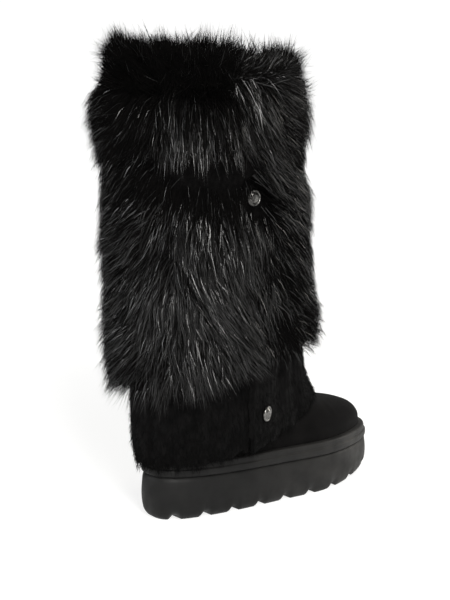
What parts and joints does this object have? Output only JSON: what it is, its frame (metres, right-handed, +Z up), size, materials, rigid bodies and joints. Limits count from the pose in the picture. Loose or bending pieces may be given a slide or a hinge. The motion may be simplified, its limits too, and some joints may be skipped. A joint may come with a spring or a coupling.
{
  "type": "tall fur platform boot",
  "caption": "Tall right boot: suede foot on a lugged platform sole, ribbed cuff over the ankle and a wide wrapped fur shaft with metal snap caps on its outer side",
  "frame": {"origin": "on the floor, on the flat of the heel under its middle", "axes": "+X to the toe, +Y to the inner side of the right foot, +Z up along the leg"},
  "size_m": [0.3143, 0.1979, 0.4556],
  "materials": {
    "rubber": "matt moulded",
    "footbed": "matt",
    "suede": "napped",
    "knit": "brushed rib",
    "fur": "glossy long hair",
    "pewter": "aged"
  },
  "bodies": {
    "root": {"outsole": "rubber", "foxing": "rubber", "insole": "footbed", "upper": "suede", "cuff": "knit", "fur_shaft": "fur", "snap_upper": "pewter", "snap_lower": "pewter"}
  },
  "joints": []
}
